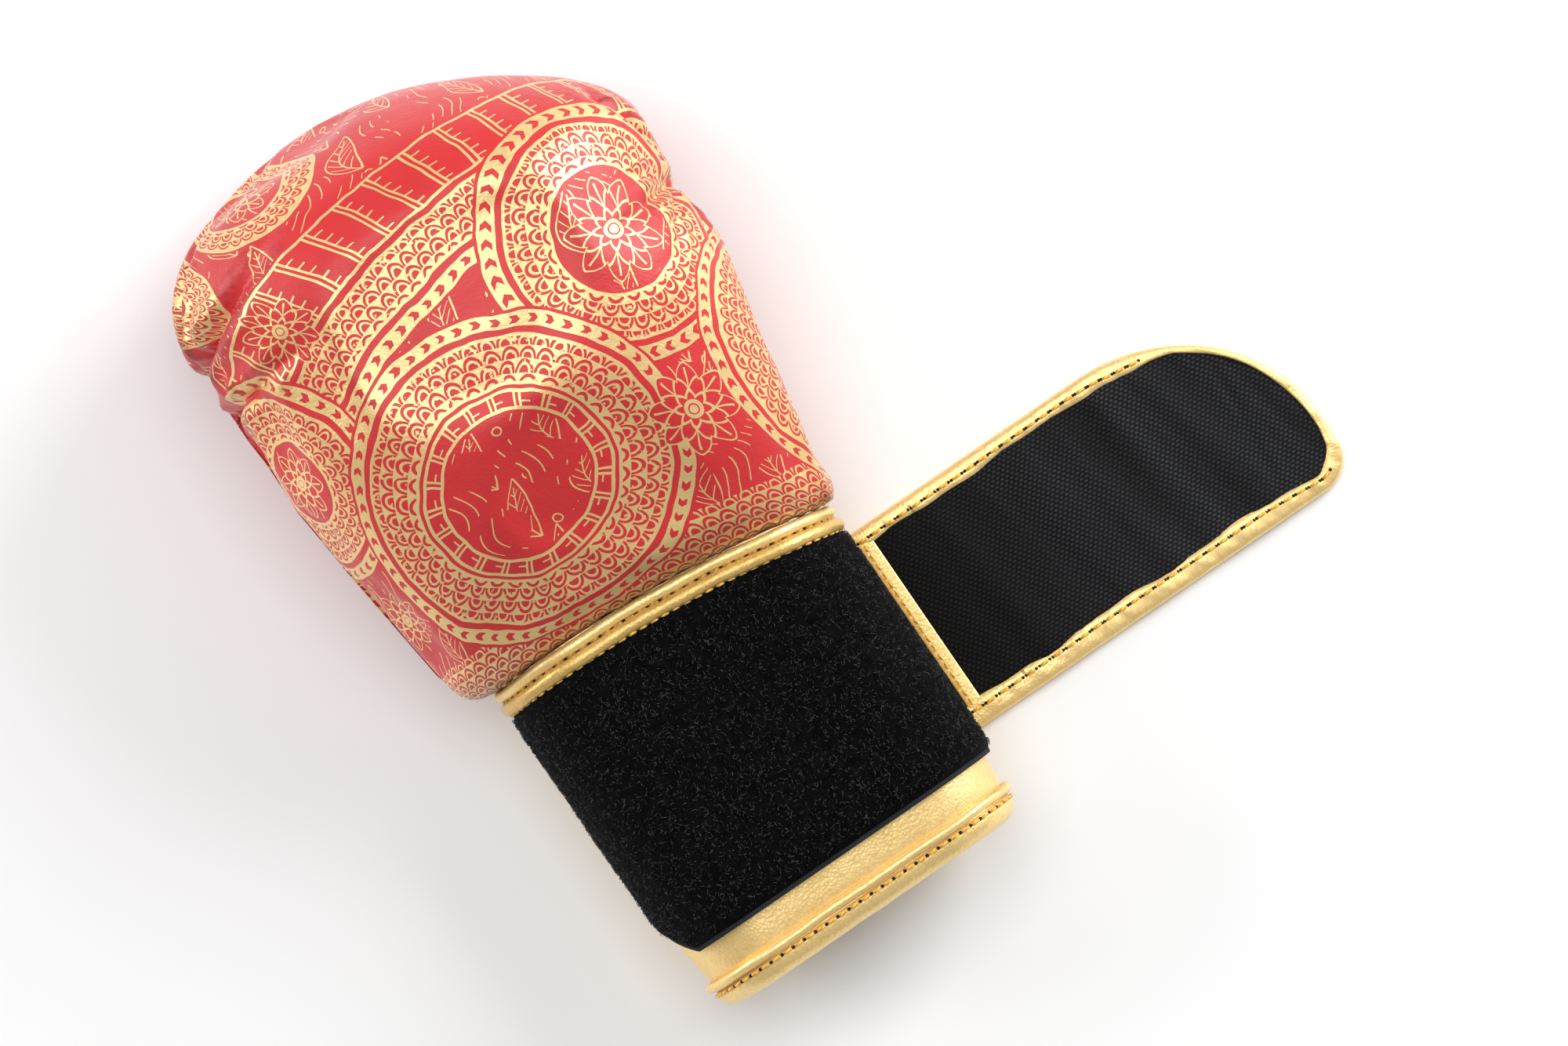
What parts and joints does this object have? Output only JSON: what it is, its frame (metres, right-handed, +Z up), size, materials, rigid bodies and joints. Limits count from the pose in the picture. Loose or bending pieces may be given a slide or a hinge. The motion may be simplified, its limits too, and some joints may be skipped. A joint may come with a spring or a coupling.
{
  "type": "boxing glove",
  "caption": "Padded leather boxing glove, palm down, with a hollow hand compartment, a thumb and an open hook-and-loop wrist strap that wraps onto the cuff.",
  "frame": {"origin": "middle of the strap's wrist band, on the plane the glove rests on", "axes": "+X across the wrist towards the open strap, +Y along the hand towards the knuckles, +Z up from the palm to the back of the hand"},
  "size_m": [0.2892, 0.3084, 0.118],
  "materials": {
    "red_leather": "satin",
    "gold_leather": "satin",
    "foam": "matte",
    "lining": "matte",
    "loop_pile": "matte",
    "hook_tape": "matte"
  },
  "bodies": {
    "glove": {"back_leather": "red_leather", "palm_leather": "red_leather", "finger_leather": "red_leather", "thumb_leather": "red_leather", "thumb_lock": "red_leather", "back_pad": "foam", "knuckle_pad": "foam", "front_pad": "foam", "palm_pad": "foam", "finger_pad": "foam", "thumb_pad": "foam", "cuff_pad": "foam", "hand_lining": "lining", "cuff_lining": "lining", "grip_bar": "lining", "wrist_gusset": "lining", "cuff_leather": "gold_leather", "hem_binding": "gold_leather", "hem_piping": "gold_leather", "welt_upper": "gold_leather", "welt_lower": "gold_leather", "strap_root": "gold_leather", "strap_root_patch": "gold_leather", "loop_patch": "loop_pile"},
    "strap_1": {"strap_leather_1": "gold_leather", "strap_hook_1": "hook_tape", "strap_binding_1": "gold_leather"},
    "strap_2": {"strap_leather_2": "gold_leather", "strap_hook_2": "hook_tape", "strap_binding_2": "gold_leather"},
    "strap_3": {"strap_leather_3": "gold_leather", "strap_hook_3": "hook_tape", "strap_binding_3": "gold_leather"},
    "strap_4": {"strap_leather_4": "gold_leather", "strap_hook_4": "hook_tape", "strap_binding_4": "gold_leather"}
  },
  "joints": [
    {"name": "strap_fold_1", "type": "hinge", "parent": "glove", "child": "strap_1", "pos_m": [0.04305, 0, 0.004], "axis": [0, -1, 0], "range_deg": [0, 45]},
    {"name": "strap_fold_2", "type": "hinge", "parent": "strap_1", "child": "strap_2", "pos_m": [0.06914, 0, 0.004], "axis": [0, -1, 0], "range_deg": [0, 45]},
    {"name": "strap_fold_3", "type": "hinge", "parent": "strap_2", "child": "strap_3", "pos_m": [0.09524, 0, 0.004], "axis": [0, -1, 0], "range_deg": [0, 45]},
    {"name": "strap_fold_4", "type": "hinge", "parent": "strap_3", "child": "strap_4", "pos_m": [0.12133, 0, 0.004], "axis": [0, -1, 0], "range_deg": [0, 45]}
  ],
  "couplings": [
    {"joint": "strap_fold_2", "follows": "strap_fold_1", "ratio": 1},
    {"joint": "strap_fold_3", "follows": "strap_fold_1", "ratio": 1},
    {"joint": "strap_fold_4", "follows": "strap_fold_1", "ratio": 1}
  ]
}
